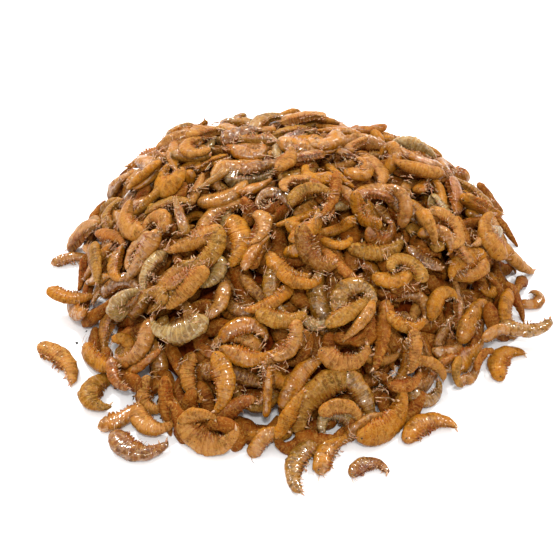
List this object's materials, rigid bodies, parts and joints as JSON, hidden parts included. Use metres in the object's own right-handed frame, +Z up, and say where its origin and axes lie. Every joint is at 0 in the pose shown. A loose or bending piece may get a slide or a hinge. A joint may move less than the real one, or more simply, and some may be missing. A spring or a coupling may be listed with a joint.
{
  "type": "heap of freeze-dried shrimp",
  "caption": "Broad low heap of small curled freeze-dried shrimp lying loose on a surface, with strays beside it.",
  "frame": {"origin": "on the surface that the heap lies on, under the middle of the whole", "axes": "+Z up; +Y away from the side with the strays; +X to the right seen from that side"},
  "size_m": [0.1426, 0.1478, 0.039],
  "materials": {
    "dried_shrimp": "dried cuticle, satin, mottled tan and amber",
    "amber_shrimp": "dried cuticle, satin, amber orange",
    "tan_shrimp": "dried cuticle, satin, pinkish tan"
  },
  "bodies": {
    "root": {"shrimp_heap": "dried_shrimp", "stray_shrimp_left": "amber_shrimp", "stray_shrimp_front_left": "tan_shrimp", "stray_shrimp_front": "tan_shrimp", "stray_shrimp_front_right": "amber_shrimp", "stray_shrimp_right": "amber_shrimp"}
  },
  "joints": []
}
